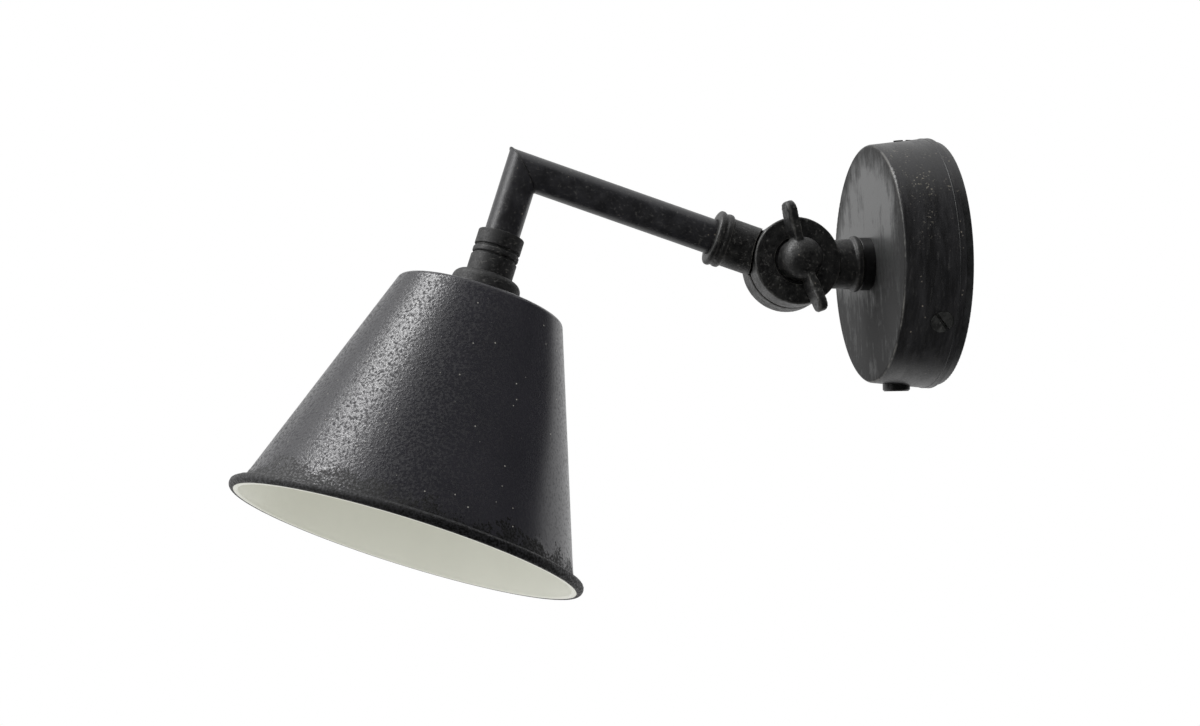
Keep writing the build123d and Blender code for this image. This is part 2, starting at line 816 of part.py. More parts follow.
def centre_contact():
    """The spring contact in the middle of the insert's floor."""
    tip = insert_floor + contact_height
    return drop_frame * turned(
        (0, insert_top, 0),
        (contact_radius, insert_top, 0),
        (contact_radius, tip, 0.8),
        (0, tip, 0),
    )


nodes = {
    "backplate": backplate,
    "rose_cover": rose_cover,
    "cover_screws": cover_screws,
    "terminal_block": terminal_block,
    "terminal_inserts": terminal_inserts,
    "terminal_screws": terminal_screws,
    "earth_screw": earth_screw,
    "earth_washer": earth_washer,
    "fixing_screws": fixing_screws,
    "switch_bracket": switch_bracket,
    "switch_body": switch_body,
    "switch_nut": switch_nut,
    "switch_button": switch_button,
    "rose_collar": rose_collar,
    "swivel_nipple": swivel_nipple,
    "swivel_washer": swivel_washer,
    "swivel_nut": swivel_nut,
    "knuckle_wall_half": knuckle_wall_half,
    "knuckle_arm_half": knuckle_arm_half,
    "friction_disc": friction_disc,
    "pivot_bolt": pivot_bolt,
    "pressure_washer": pressure_washer,
    "wing_nut": wing_nut,
    "arm_tube": arm_tube,
    "drop_tube": drop_tube,
    "coupler": coupler,
    "shade_cap": shade_cap,
    "shade": shade,
    "holder_nipple": holder_nipple,
    "shade_locknut": shade_locknut,
    "holder_cap": holder_cap,
    "holder_body": holder_body,
    "holder_insert": holder_insert,
    "screw_shell": screw_shell,
    "centre_contact": centre_contact,
}

os.makedirs("parts", exist_ok=True)
for name, make in nodes.items():
    export_step(make(), f"parts/{name}.step")
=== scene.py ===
# An adjustable wall lamp: a round rose on the wall, a swivelling stem, a knuckle that a wing nut clamps, a
# tube arm with a mitred elbow, and a spun conical shade, blackened outside and enamelled white inside.
# Lengths are in metres, in the same frame as the solids, and MM turns a size in millimetres to metres.
import json
import math

import bmesh
import bpy
from mathutils import Matrix, Vector, noise


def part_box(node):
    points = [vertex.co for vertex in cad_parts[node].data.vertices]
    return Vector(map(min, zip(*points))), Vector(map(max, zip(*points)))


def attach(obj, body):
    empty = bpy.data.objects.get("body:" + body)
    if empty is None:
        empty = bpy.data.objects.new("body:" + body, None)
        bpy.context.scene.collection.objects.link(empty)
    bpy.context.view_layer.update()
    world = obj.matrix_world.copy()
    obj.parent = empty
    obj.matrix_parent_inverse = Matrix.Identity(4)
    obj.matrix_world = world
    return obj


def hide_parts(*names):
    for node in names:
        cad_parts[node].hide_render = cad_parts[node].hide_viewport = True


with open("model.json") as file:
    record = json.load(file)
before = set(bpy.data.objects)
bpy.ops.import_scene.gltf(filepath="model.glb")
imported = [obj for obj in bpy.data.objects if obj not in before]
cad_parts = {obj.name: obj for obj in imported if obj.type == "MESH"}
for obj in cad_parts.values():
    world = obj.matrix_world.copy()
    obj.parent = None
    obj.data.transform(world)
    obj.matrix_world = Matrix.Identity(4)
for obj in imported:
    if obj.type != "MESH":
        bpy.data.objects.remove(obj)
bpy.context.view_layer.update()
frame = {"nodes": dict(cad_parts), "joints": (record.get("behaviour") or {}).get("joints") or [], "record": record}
nodes = frame["nodes"]
MM = 0.001

# ---- Studio -----------------------------------------------------------------------------------------------
# A pale floor well under the lamp, one big soft light on its left, another above it, and black cloths on the
# camera's side, as round a product that is photographed for a catalogue. The background is plain white.


def ink(code):
    """A colour written as sRGB hex, turned to linear light."""
    parts = [int(code[i:i + 2], 16) / 255 for i in (1, 3, 5)]
    return [p / 12.92 if p <= 0.04045 else ((p + 0.055) / 1.055) ** 2.4 for p in parts] + [1.0]


def add(tree, kind, values=None, **settings):
    """Adds one shader node with its settings, and sets or links each input that values names."""
    node = tree.nodes.new("ShaderNode" + kind)
    for name, value in settings.items():
        setattr(node, name, value)
    for socket, value in (values or {}).items():
        if isinstance(value, bpy.types.NodeSocket):
            tree.links.new(value, node.inputs[socket])
        else:
            node.inputs[socket].default_value = value
    return node


def studio_card(name, size, place, turn, hinge="Y"):
    """A flat square card of the studio, which is no part of the lamp."""
    form = bmesh.new()
    bmesh.ops.create_grid(form, x_segments=1, y_segments=1, size=size / 2)
    mesh = bpy.data.meshes.new(name)
    form.to_mesh(mesh)
    form.free()
    card = bpy.data.objects.new(name, mesh)
    card.matrix_world = Matrix.Translation(place) @ Matrix.Rotation(turn, 4, hinge)
    bpy.context.scene.collection.objects.link(card)
    return card


# Matt white paper: it keeps the lamp's shadow, and the camera and glossy metal see it as a clean pale ground.
floor = studio_card("floor", 16.0, (0, 0, -3.0), 0.0)
floor_paper = bpy.data.materials.new("white background paper")
floor_paper.use_nodes = True
tree = floor_paper.node_tree
tree.nodes.clear()
light_path = add(tree, "LightPath")
paper = add(tree, "BsdfDiffuse", {"Color": ink("#ecebe8")})
bright = add(tree, "Emission", {"Color": ink("#ffffff"), "Strength": 1.0})
seen = add(tree, "Math", {0: light_path.outputs["Is Camera Ray"], 1: light_path.outputs["Is Glossy Ray"]},
           operation="MAXIMUM")
share = add(tree, "Math", {0: seen.outputs[0], 1: 0.96}, operation="MULTIPLY")
mixed = add(tree, "MixShader", {0: share.outputs[0], 1: paper.outputs[0], 2: bright.outputs[0]})
add(tree, "OutputMaterial", {"Surface": mixed.outputs[0]})
floor.data.materials.append(floor_paper)

# Three black cloths keep the camera's side, the wall's side and the floor before the lamp out of its shine.
card_cloth = bpy.data.materials.new("black studio cloth")
card_cloth.use_nodes = True
tree = card_cloth.node_tree
tree.nodes["Principled BSDF"].inputs["Base Color"].default_value = ink("#141414")
tree.nodes["Principled BSDF"].inputs["Roughness"].default_value = 1.0
for cloth in (studio_card("camera_side_cloth", 8.0, (1.9, 0.6, 0.2), math.radians(90)),
              studio_card("wall_side_cloth", 2.6, (1.0, 1.6, 0.1), math.radians(90), "X"),
              studio_card("low_cloth", 4.4, (1.7, 0.3, -0.95), 0.0)):
    cloth.visible_camera = False
    cloth.visible_diffuse = False
    cloth.visible_shadow = False
    cloth.data.materials.append(card_cloth)

world = bpy.data.worlds.new("white studio")
bpy.context.scene.world = world
world.use_nodes = True
tree = world.node_tree
tree.nodes.clear()
light_path = add(tree, "LightPath")
seen = add(tree, "Math", {0: light_path.outputs["Is Camera Ray"], 1: light_path.outputs["Is Glossy Ray"]},
           operation="MAXIMUM")
seen = add(tree, "Math", {0: seen.outputs[0], 1: light_path.outputs["Is Transmission Ray"]},
           operation="MAXIMUM")
fill = add(tree, "Background", {"Color": ink("#ffffff"), "Strength": 0.95})
white = add(tree, "Background", {"Color": ink("#ffffff"), "Strength": 1.0})
mixed = add(tree, "MixShader", {0: seen.outputs[0], 1: fill.outputs[0], 2: white.outputs[0]})
add(tree, "OutputWorld", {"Surface": mixed.outputs[0]})


def soft_light(name, place, aim, width, height, shine, wash):
    """A large rectangular studio light that points at aim, with both powers in watts. Its shine is what
    glossy surfaces mirror. Its wash lights matt ones, and is weaker so that white enamel doesn't burn out."""
    for part, power in (("shine", shine), ("wash", wash)):
        lamp = bpy.data.lights.new(name + "_" + part, "AREA")
        lamp.shape = "RECTANGLE"
        lamp.size = width
        lamp.size_y = height
        lamp.energy = power
        holder = bpy.data.objects.new(name + "_" + part, lamp)
        holder.visible_glossy = part == "shine"
        holder.visible_diffuse = part == "wash"
        facing = (Vector(place) - Vector(aim)).to_track_quat("Z", "Y")
        holder.matrix_world = Matrix.Translation(place) @ facing.to_matrix().to_4x4()
        bpy.context.scene.collection.objects.link(holder)


soft_light("left_light", (0.1, -1.45, 0.65), (0, -0.15, 0.0), width=0.58, height=0.8, shine=8.6, wash=2.2)
soft_light("top_light", (-0.03, -0.9, 1.25), (0, -0.24, -0.05), width=0.5, height=0.5, shine=15, wash=2.5)

# The camera stands below and to the lamp's +X side. Its numbers were fitted to the photograph's outlines.
PICTURE_WIDTH = 1200
camera_turn = math.radians(77.41)
camera_rise = math.radians(-7.70)
camera_roll = math.radians(-2.65)
camera_focal = 3252.0
camera_offset = (0.152695, 0.045481, 1.484174)

back = Vector((math.sin(camera_turn) * math.cos(camera_rise), -math.cos(camera_turn) * math.cos(camera_rise),
               math.sin(camera_rise)))
level = (-back).cross(Vector((0, 0, 1))).normalized()
upright = level.cross(-back)
right = level * math.cos(camera_roll) + upright * math.sin(camera_roll)
above = upright * math.cos(camera_roll) - level * math.sin(camera_roll)
eye = back * camera_offset[2] - right * camera_offset[0] - above * camera_offset[1]
lens = bpy.data.cameras.new("camera")
lens.sensor_fit = "HORIZONTAL"
lens.sensor_width = 36.0
lens.lens = camera_focal / PICTURE_WIDTH * lens.sensor_width
lens.clip_start = 0.05
lens.clip_end = 50.0
camera = bpy.data.objects.new("camera", lens)
camera.matrix_world = Matrix(((right.x, above.x, back.x, eye.x), (right.y, above.y, back.y, eye.y),
                              (right.z, above.z, back.z, eye.z), (0, 0, 0, 1)))
bpy.context.scene.collection.objects.link(camera)
bpy.context.scene.camera = camera
bpy.context.scene.view_settings.view_transform = "Standard"


# ---- Rose: backplate and cover ----------------------------------------------------------------------------
# The backplate is a turned steel disc on the wall, and the cover is a spun steel drum with a little draft.
# Both are chemically blackened and waxed, which leaves cloudy grey patina and a few tan spots on charcoal.


def grain(size):
    """The texture scale whose marks are this many millimetres across."""
    return 1000.0 / size


def blackened(name, ground="#161718", bloom="#2c2d2f", smooth=0.34, rough=0.52, cloud=14.0, pit=0.9,
              relief=0.05, stretch=(1, 1, 1), rubbed=0.0, rub_way=(1, 1, 1), worn_and_painted_highlight_edges=False):
    """Blackened, waxed metal: a charcoal ground with paler bloom in clouds, fine pits that break up its
    shine, rubs where cloth and hands went through the black, and paler edges, wear and painted highlight together,
    where the edge flag is set."""
    made = bpy.data.materials.new(name)
    made.use_nodes = True
    tree = made.node_tree
    shader = tree.nodes["Principled BSDF"]
    place = add(tree, "TexCoord")
    drawn = add(tree, "Mapping", {"Vector": place.outputs["Object"], "Scale": stretch})
    clouds = add(tree, "TexNoise", {"Vector": drawn.outputs[0], "Scale": grain(cloud), "Detail": 6.0,
                                    "Roughness": 0.66})
    specks = add(tree, "TexNoise", {"Vector": place.outputs["Object"], "Scale": grain(pit), "Detail": 3.0,
                                    "Roughness": 0.6})
    bloomed = add(tree, "MapRange", {"Value": clouds.outputs["Fac"], "From Min": 0.40, "From Max": 0.70})
    colour = add(tree, "Mix", {0: bloomed.outputs[0], 6: ink(ground), 7: ink(bloom)}, data_type="RGBA")
    along = add(tree, "Mapping", {"Vector": place.outputs["Object"], "Scale": rub_way})
    rubs = add(tree, "TexNoise", {"Vector": along.outputs[0], "Scale": grain(1.6), "Detail": 5.0,
                                  "Roughness": 0.75})
    bare = add(tree, "MapRange", {"Value": rubs.outputs["Fac"], "From Min": 0.56, "From Max": 0.74,
                                  "To Max": rubbed})
    colour = add(tree, "Mix", {0: bare.outputs[0], 6: colour.outputs[2], 7: ink("#8e8c86")}, data_type="RGBA")
    dust = add(tree, "TexVoronoi", {"Vector": place.outputs["Object"], "Scale": grain(3.2)})
    dot = add(tree, "MapRange", {"Value": dust.outputs["Distance"], "From Min": 0.14, "From Max": 0.08})
    dusty = add(tree, "MapRange", {"Value": clouds.outputs["Fac"], "From Min": 0.54, "From Max": 0.62})
    tan = add(tree, "Math", {0: dot.outputs[0], 1: dusty.outputs[0]}, operation="MULTIPLY")
    colour = add(tree, "Mix", {0: tan.outputs[0], 6: colour.outputs[2], 7: ink("#716a5f")}, data_type="RGBA")
    # Convex edges are painted paler, as wear and painted highlight together.
    if worn_and_painted_highlight_edges:
        edges = add(tree, "Attribute", attribute_name="worn_and_painted_highlight_edges")
        broken = add(tree, "Math", {0: edges.outputs["Fac"], 1: specks.outputs["Fac"]}, operation="MULTIPLY")
        bright = add(tree, "MapRange", {"Value": broken.outputs[0], "From Min": 0.02, "From Max": 0.09,
                                        "To Max": 0.75})
        colour = add(tree, "Mix", {0: bright.outputs[0], 6: colour.outputs[2], 7: ink("#6b6965")},
                     data_type="RGBA")
    tree.links.new(colour.outputs[2], shader.inputs["Base Color"])
    uneven = add(tree, "Math", {0: specks.outputs["Fac"], 1: clouds.outputs["Fac"]}, operation="ADD")
    shine = add(tree, "MapRange", {"Value": uneven.outputs[0], "From Min": 0.75, "From Max": 1.25,
                                   "To Min": smooth, "To Max": rough})
    tree.links.new(shine.outputs[0], shader.inputs["Roughness"])
    skin = add(tree, "Bump", {"Height": specks.outputs["Fac"], "Distance": relief * MM, "Strength": 1.0})
    tree.links.new(skin.outputs[0], shader.inputs["Normal"])
    return made


def finish_node(name, material):
    """Gives a solid of the frame its finish."""
    nodes[name].data.materials.clear()
    nodes[name].data.materials.append(material)


# The backplate's turned steel is charcoal with a cloudy grey bloom, and small pits break up its shine.
plate_steel = blackened("blackened turned steel", smooth=0.36, rough=0.5)
finish_node("backplate", plate_steel)

# The drum's side is nearly black, with fine lines round it. Its face has upright streaks of patina, and is painted
# lighter in the middle and towards the top and darker low down and near the edge, as painted light and painted
# shade. It is also duller where darker.
cover_steel = blackened("blackened spun steel", ground="#161618", bloom="#262629", cloud=9.0,
                        stretch=(0.4, 2.2, 0.4), pit=0.8, relief=0.05, rubbed=0.10,
                        rub_way=(0.25, 1.6, 0.25))
tree = cover_steel.node_tree
shader = tree.nodes["Principled BSDF"]
side_colour = shader.inputs["Base Color"].links[0].from_socket
side_shine = shader.inputs["Roughness"].links[0].from_socket
place = add(tree, "TexCoord")
facing = add(tree, "SeparateXYZ", {"Vector": place.outputs["Normal"]})
flat = add(tree, "MapRange", {"Value": facing.outputs["Y"], "From Min": -0.6, "From Max": -0.9})
across_face = add(tree, "VectorMath", {0: place.outputs["Object"], 1: (1, 0, 1)}, operation="MULTIPLY")
reach = add(tree, "VectorMath", {0: across_face.outputs[0]}, operation="LENGTH")
# Painted light and shade on the face: lighter in its middle and towards the top, darker near its edge and low
# down.
middle = add(tree, "MapRange", {"Value": reach.outputs["Value"], "From Min": 52 * MM, "From Max": 40 * MM})
where = add(tree, "SeparateXYZ", {"Vector": place.outputs["Object"]})
painted_light_upwards = add(tree, "MapRange", {"Value": where.outputs["Z"], "From Min": -22 * MM, "From Max": 14 * MM,
                               "To Min": -0.08, "To Max": 1.12})
# Pale dust sits in patches on the upper half of the side, and the front edge has a fine grey line that is wear and
# painted highlight together.
over = add(tree, "MapRange", {"Value": where.outputs["Z"], "From Min": -6 * MM, "From Max": 24 * MM})
patches = add(tree, "TexNoise", {"Vector": place.outputs["Object"], "Scale": grain(14), "Detail": 4.0,
                                 "Roughness": 0.7})
patchy = add(tree, "MapRange", {"Value": patches.outputs["Fac"], "From Min": 0.50, "From Max": 0.66})
grit = add(tree, "TexNoise", {"Vector": place.outputs["Object"], "Scale": grain(1.1), "Detail": 2.0})
gritty = add(tree, "MapRange", {"Value": grit.outputs["Fac"], "From Min": 0.60, "From Max": 0.68})
dust = add(tree, "Math", {0: over.outputs[0], 1: patchy.outputs[0]}, operation="MULTIPLY")
dust = add(tree, "Math", {0: dust.outputs[0], 1: gritty.outputs[0]}, operation="MULTIPLY")
dusted = add(tree, "Mix", {0: dust.outputs[0], 6: side_colour, 7: ink("#8b8577")}, data_type="RGBA")
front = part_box("rose_cover")[0][1]
# The front edge's grey line is part wear and part a painted highlight on the edge's round.
near_front = add(tree, "MapRange", {"Value": where.outputs["Y"], "From Min": front + 0.9 * MM,
                                    "From Max": front + 0.4 * MM})
near_rim = add(tree, "MapRange", {"Value": reach.outputs["Value"], "From Min": 53.0 * MM,
                                  "From Max": 53.5 * MM, "To Max": 0.5})
worn_edge_and_painted_highlight = add(tree, "Math", {0: near_front.outputs[0], 1: near_rim.outputs[0]}, operation="MULTIPLY")
chips = add(tree, "MapRange", {"Value": patches.outputs["Fac"], "From Min": 0.42, "From Max": 0.56})
worn_edge_and_painted_highlight = add(tree, "Math", {0: worn_edge_and_painted_highlight.outputs[0], 1: chips.outputs[0]}, operation="MULTIPLY")
strokes = add(tree, "Mapping", {"Vector": place.outputs["Object"], "Scale": (1, 1, 0.18)})
streaks = add(tree, "TexNoise", {"Vector": strokes.outputs[0], "Scale": grain(3.4), "Detail": 7.0,
                                 "Roughness": 0.72})
blots = add(tree, "TexNoise", {"Vector": place.outputs["Object"], "Scale": grain(13), "Detail": 6.0,
                               "Roughness": 0.7})
painted_light_on_face = add(tree, "Math", {0: middle.outputs[0], 1: painted_light_upwards.outputs[0]}, operation="MULTIPLY")
uneven = add(tree, "Math", {0: streaks.outputs["Fac"], 1: blots.outputs["Fac"]}, operation="ADD")
uneven = add(tree, "MapRange", {"Value": uneven.outputs[0], "From Min": 0.8, "From Max": 1.2, "To Min": -0.45,
                                "To Max": 0.45})
# The face's colour mixes its streaky patina with that painted light and painted shade.
patina_and_painted_light = add(tree, "Math", {0: painted_light_on_face.outputs[0], 1: uneven.outputs[0]}, operation="ADD", use_clamp=True)
face_colour = add(tree, "Mix", {0: patina_and_painted_light.outputs[0], 6: ink("#121213"), 7: ink("#424343")}, data_type="RGBA")
face_shine = add(tree, "Mix", {0: patina_and_painted_light.outputs[0], 2: 0.78, 3: 0.36})
colour = add(tree, "Mix", {0: flat.outputs[0], 6: dusted.outputs[2], 7: face_colour.outputs[2]},
             data_type="RGBA")
colour = add(tree, "Mix", {0: worn_edge_and_painted_highlight.outputs[0], 6: colour.outputs[2], 7: ink("#7b7974")},
             data_type="RGBA")
shine = add(tree, "Mix", {0: flat.outputs[0], 2: side_shine, 3: face_shine.outputs[0]})
tree.links.new(colour.outputs[2], shader.inputs["Base Color"])
tree.links.new(shine.outputs[0], shader.inputs["Roughness"])
finish_node("rose_cover", cover_steel)


def fine_ring(reach, thick, columns):
    """A thin round ring about Z. Both of its radii are in millimetres."""
    form = bmesh.new()
    upright_at_reach = Matrix.Translation((reach * MM, 0, 0)) @ Matrix.Rotation(math.radians(90), 4, "X")
    bmesh.ops.create_circle(form, segments=10, radius=thick * MM, matrix=upright_at_reach)
    bmesh.ops.spin(form, geom=form.verts[:] + form.edges[:], cent=(0, 0, 0), axis=(0, 0, 1), angle=math.tau,
                   steps=columns, use_merge=True)
    bmesh.ops.remove_doubles(form, verts=form.verts, dist=1e-7)
    bmesh.ops.recalc_face_normals(form, faces=form.faces)
    for face in form.faces:
        face.smooth = True
    return form


def shown(name, form, body, *materials):
    """Puts a finished form into the scene as a piece that moves with a body."""
    mesh = bpy.data.meshes.new(name)
    form.to_mesh(mesh)
    form.free()
    piece = bpy.data.objects.new(name, mesh)
    bpy.context.scene.collection.objects.link(piece)
    for material in materials:
        piece.data.materials.append(material)
    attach(piece, body)
    return piece


# A fine raised line was rolled round the cover's side, 2.6 mm in front of its rear edge.
rolled_line_from_wall, rolled_line_reach, rolled_line_thick = 6.6, 56.6, 0.3
form = fine_ring(rolled_line_reach, rolled_line_thick, 160)
facing_the_room = Matrix.Rotation(math.radians(90), 4, "X")
form.transform(Matrix.Translation((0, -rolled_line_from_wall * MM, 0)) @ facing_the_room)
rolled_line = shown("rolled_line", form, "rose", plate_steel)

# ---- Cover screws -----------------------------------------------------------------------------------------
# Three slotted countersunk steel screws hold the cover to the backplate's lugs. They were blackened with it
# and look a little paler, and each was left with its slot at its own angle.
screw_steel = blackened("blackened screw steel", ground="#1b1c1c", bloom="#343534", cloud=3.0, pit=0.5,
                        relief=0.02, rubbed=0.2)
form = bmesh.new()
form.from_mesh(nodes["cover_screws"].data)
bmesh.ops.remove_doubles(form, verts=form.verts, dist=1e-7)
form.verts.index_update()


def slot_turn(way):
    """How far a screw's slot was left turned, in degrees, by the way the screw faces."""
    if way.x > 0.3:
        return -97
    return 25 if way.z > 0.3 else 140


waiting = set(form.verts)
while waiting:
    screw, to_visit = set(), [waiting.pop()]
    while to_visit:
        vert = to_visit.pop()
        screw.add(vert)
        for edge in vert.link_edges:
            neighbour = edge.other_vert(vert)
            if neighbour in waiting:
                waiting.discard(neighbour)
                to_visit.append(neighbour)
    screw = sorted(screw, key=lambda vert: vert.index)
    centre = sum((vert.co for vert in screw), Vector()) / len(screw)
    way = Vector((centre.x, 0, centre.z)).normalized()
    bmesh.ops.rotate(form, verts=screw, cent=way * centre.dot(way) + Vector((0, centre.y, 0)),
                     matrix=Matrix.Rotation(math.radians(slot_turn(way)), 3, way))
set_screws = shown("set_cover_screws", form, "rose", screw_steel)
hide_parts("cover_screws")

# ---- Wiring inside the rose -------------------------------------------------------------------------------
# A moulded terminal block with brass inserts, an earth screw, and a push switch on a bent steel angle. None
# of it shows while the cover is on.


def even_finish(name, colour, smooth, rough, marks, detail=2.0, metallic=0.0):
    """One even colour whose shine varies between two roughnesses, in marks of a size in millimetres."""
    made = bpy.data.materials.new(name)
    made.use_nodes = True
    tree = made.node_tree
    place = add(tree, "TexCoord")
    fine = add(tree, "TexNoise", {"Vector": place.outputs["Object"], "Scale": grain(marks), "Detail": detail})
    shine = add(tree, "MapRange", {"Value": fine.outputs["Fac"], "To Min": smooth, "To Max": rough})
    shader = tree.nodes["Principled BSDF"]
    shader.inputs["Base Color"].default_value = ink(colour)
    shader.inputs["Metallic"].default_value = metallic
    tree.links.new(shine.outputs[0], shader.inputs["Roughness"])
    return made


# The plastics have a soft, even shine. The plated steel and the brass shine more and show fine tool marks.
finish_node("terminal_block", even_finish("terminal block plastic", "#d8d5cc", 0.4, 0.55, marks=0.4))
finish_node("switch_body", even_finish("switch body plastic", "#1a1a1b", 0.4, 0.55, marks=0.4))
zinc_steel = even_finish("zinc plated steel", "#a9abad", 0.25, 0.45, marks=0.6, detail=4.0, metallic=1.0)
turned_brass = even_finish("turned brass", "#b8924f", 0.22, 0.42, marks=0.6, detail=4.0, metallic=1.0)
for name in ("terminal_screws", "fixing_screws", "switch_bracket", "switch_nut", "swivel_washer",
             "swivel_nut"):
    finish_node(name, zinc_steel)
for name in ("terminal_inserts", "earth_screw", "earth_washer", "swivel_nipple"):
    finish_node(name, turned_brass)

# ---- Push button ------------------------------------------------------------------------------------------
# A black moulded cap that stands a little out of the drum's underside and is worn to a low shine. The same
# moulding compound makes the lampholder's two shells.
black_moulding = even_finish("black moulded button", "#0d0d0e", 0.32, 0.48, marks=0.5)
finish_node("switch_button", black_moulding)

# ---- Collar -----------------------------------------------------------------------------------------------
# A turned brass collar between the rose and the knuckle's stem, blackened nearly to black. It hides the
# swivel nipple where that leaves the rose, and was handled smooth.
collar_brass = blackened("blackened turned brass", ground="#060607", bloom="#111112", smooth=0.34, rough=0.48,
                         cloud=6.0, pit=0.6, relief=0.02)
finish_node("rose_collar", collar_brass)

# ---- Knuckle ----------------------------------------------------------------------------------------------
# Two cast brass half-lap discs, each with its stub, fettled by hand and blackened. Their edges are soft and
# their faces keep a fine cast skin.


def cast_skin(name, voxel, rounds, skin, lump):
    """A casting made from the solid's own form, with its edges softened and a faint uneven skin. The skin's
    depth and the size of its lumps are in metres, and the edge attribute is high on convex edges, which are
    painted paler as wear and painted highlight together."""
    form = bmesh.new()
    form.from_mesh(nodes[name].data)
    bmesh.ops.remove_doubles(form, verts=form.verts, dist=1e-6)
    mesh = bpy.data.meshes.new(name + "_cast")
    form.to_mesh(mesh)
    form.free()
    raw = bpy.data.objects.new(name + "_cast", mesh)
    bpy.context.scene.collection.objects.link(raw)
    remesh = raw.modifiers.new("even skin", "REMESH")
    remesh.mode = "VOXEL"
    remesh.voxel_size = voxel
    baked = bpy.data.meshes.new_from_object(raw.evaluated_get(bpy.context.evaluated_depsgraph_get()))
    raw.modifiers.clear()
    form = bmesh.new()
    form.from_mesh(baked)
    for _ in range(rounds):
        bmesh.ops.smooth_vert(form, verts=form.verts, factor=0.5, use_axis_x=True, use_axis_y=True,
                              use_axis_z=True)
    form.normal_update()
    # Convexity marks the edges to be painted paler, as wear and painted highlight together.
    worn_and_painted_highlight_edges = form.verts.layers.float.new("worn_and_painted_highlight_edges")
    for vert in form.verts:
        around = sum((edge.other_vert(vert).co for edge in vert.link_edges), Vector()) / len(vert.link_edges)
        vert[worn_and_painted_highlight_edges] = max(0.0, (vert.co - around).dot(vert.normal)) / voxel
    for vert in form.verts:
        vert.co -= vert.normal * skin * (0.5 + 0.5 * noise.noise(vert.co / lump))
    for face in form.faces:
        face.smooth = True
    form.to_mesh(mesh)
    form.free()
    bpy.data.meshes.remove(baked)
    return raw


# The black gathers in the cast skin's pits, and warm grey shows on the edges, as rubbed metal and painted
# highlight together.
cast_brass = blackened("blackened cast brass", ground="#0f0f10", bloom="#232322", smooth=0.36, rough=0.62,
                       cloud=4.0, pit=0.9, relief=0.16, rubbed=0.35, worn_and_painted_highlight_edges=True)
casting_voxel, casting_rounds, casting_lump = 0.42 * MM, 2, 3.2 * MM
plain_skin, hammered_skin = 0.08 * MM, 0.3 * MM
ear_root, ear_blend, ear_swell = 10.5 * MM, 2.5 * MM, 0.5 * MM
pivot = Vector([joint for joint in frame["joints"] if joint["name"] == "arm_tilt"][0]["pos_m"])
for name, body, skin in (("knuckle_wall_half", "stem", plain_skin), ("knuckle_arm_half", "arm", plain_skin),
                         ("wing_nut", "wing", hammered_skin)):
    casting = cast_skin(name, casting_voxel, casting_rounds, skin, casting_lump)
    if name == "wing_nut":
        # The ears were cast thick and blunt, so they stand wider than the hub's own skin.
        for vert in casting.data.vertices:
            out = math.hypot(vert.co.y - pivot.y, vert.co.z - pivot.z)
            vert.co += vert.normal * ear_swell * min(1.0, max(0.0, (out - ear_root) / ear_blend))
    casting.data.materials.append(cast_brass)
    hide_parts(name)
    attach(casting, body)

# ---- Friction disc, bolt and washer -----------------------------------------------------------------------
# A red-brown fibre ring between the two halves, and a blackened steel bolt through them. The bolt's head lies
# in the far half's recess, and its washer in the near half's, under the wing nut.


def mottled(name, dark, light, roughness, marks, detail):
    """A material whose colour wanders between two tones, in marks of a size in millimetres."""
    made = bpy.data.materials.new(name)
    made.use_nodes = True
    tree = made.node_tree
    place = add(tree, "TexCoord")
    fine = add(tree, "TexNoise", {"Vector": place.outputs["Object"], "Scale": grain(marks), "Detail": detail})
    colour = add(tree, "Mix", {0: fine.outputs["Fac"], 6: ink(dark), 7: ink(light)}, data_type="RGBA")
    shader = tree.nodes["Principled BSDF"]
    tree.links.new(colour.outputs[2], shader.inputs["Base Color"])
    shader.inputs["Roughness"].default_value = roughness
    return made


# The fibre is dull and red-brown, and the bolt's steel is nearly black with a faint grey bloom.
finish_node("friction_disc", mottled("vulcanised fibre", "#2a1512", "#3c211b", 0.7, marks=0.6, detail=4.0))
bolt_steel = blackened("blackened bolt steel", ground="#121213", bloom="#242526", cloud=4.0, pit=0.6,
                       relief=0.03)
finish_node("pivot_bolt", bolt_steel)
finish_node("pressure_washer", bolt_steel)

# ---- Arm and drop tube ------------------------------------------------------------------------------------
# Drawn steel tube of 16 mm, mitred and brazed at the elbow, dressed flush and blackened. It keeps a soft
# shine along its length.
tube_steel = blackened("blackened drawn tube", ground="#1a1a1d", bloom="#29292d", smooth=0.28, rough=0.46,
                       cloud=8.0, pit=0.8, relief=0.05, rubbed=0.25)
finish_node("arm_tube", tube_steel)
finish_node("drop_tube", tube_steel)

# The elbow is two mitred ends brazed together, and the filed seam shows as a fine dark ridge round the joint.
# The bulb's mount faces down the drop tube, and the arm is square to it.
seam_reach, seam_round, seam_unevenness, seam_lump = 8.0, 0.32, 0.12, 1.4
arm_length = 129.5
bulb_mount = [mount for mount in frame["record"]["mounts"] if mount["name"] == "bulb_socket"][0]
drop_way = Vector(bulb_mount["axis"])
arm_way = Vector((0, drop_way.z, -drop_way.y))
corner = pivot + arm_way * arm_length * MM
into_joint = (arm_way + drop_way).normalized()
across_joint = into_joint.cross(Vector((1, 0, 0)))
form = fine_ring(seam_reach, seam_round, 96)
bmesh.ops.scale(form, verts=form.verts, vec=(1, math.sqrt(2), 1))
bmesh.ops.recalc_face_normals(form, faces=form.faces)
for vert in form.verts:
    vert.co += vert.normal * seam_unevenness * MM * noise.noise(vert.co / (seam_lump * MM))
onto_joint = Matrix(((1, across_joint.x, into_joint.x, 0), (0, across_joint.y, into_joint.y, 0),
                     (0, across_joint.z, into_joint.z, 0), (0, 0, 0, 1)))
form.transform(Matrix.Translation(corner) @ onto_joint)
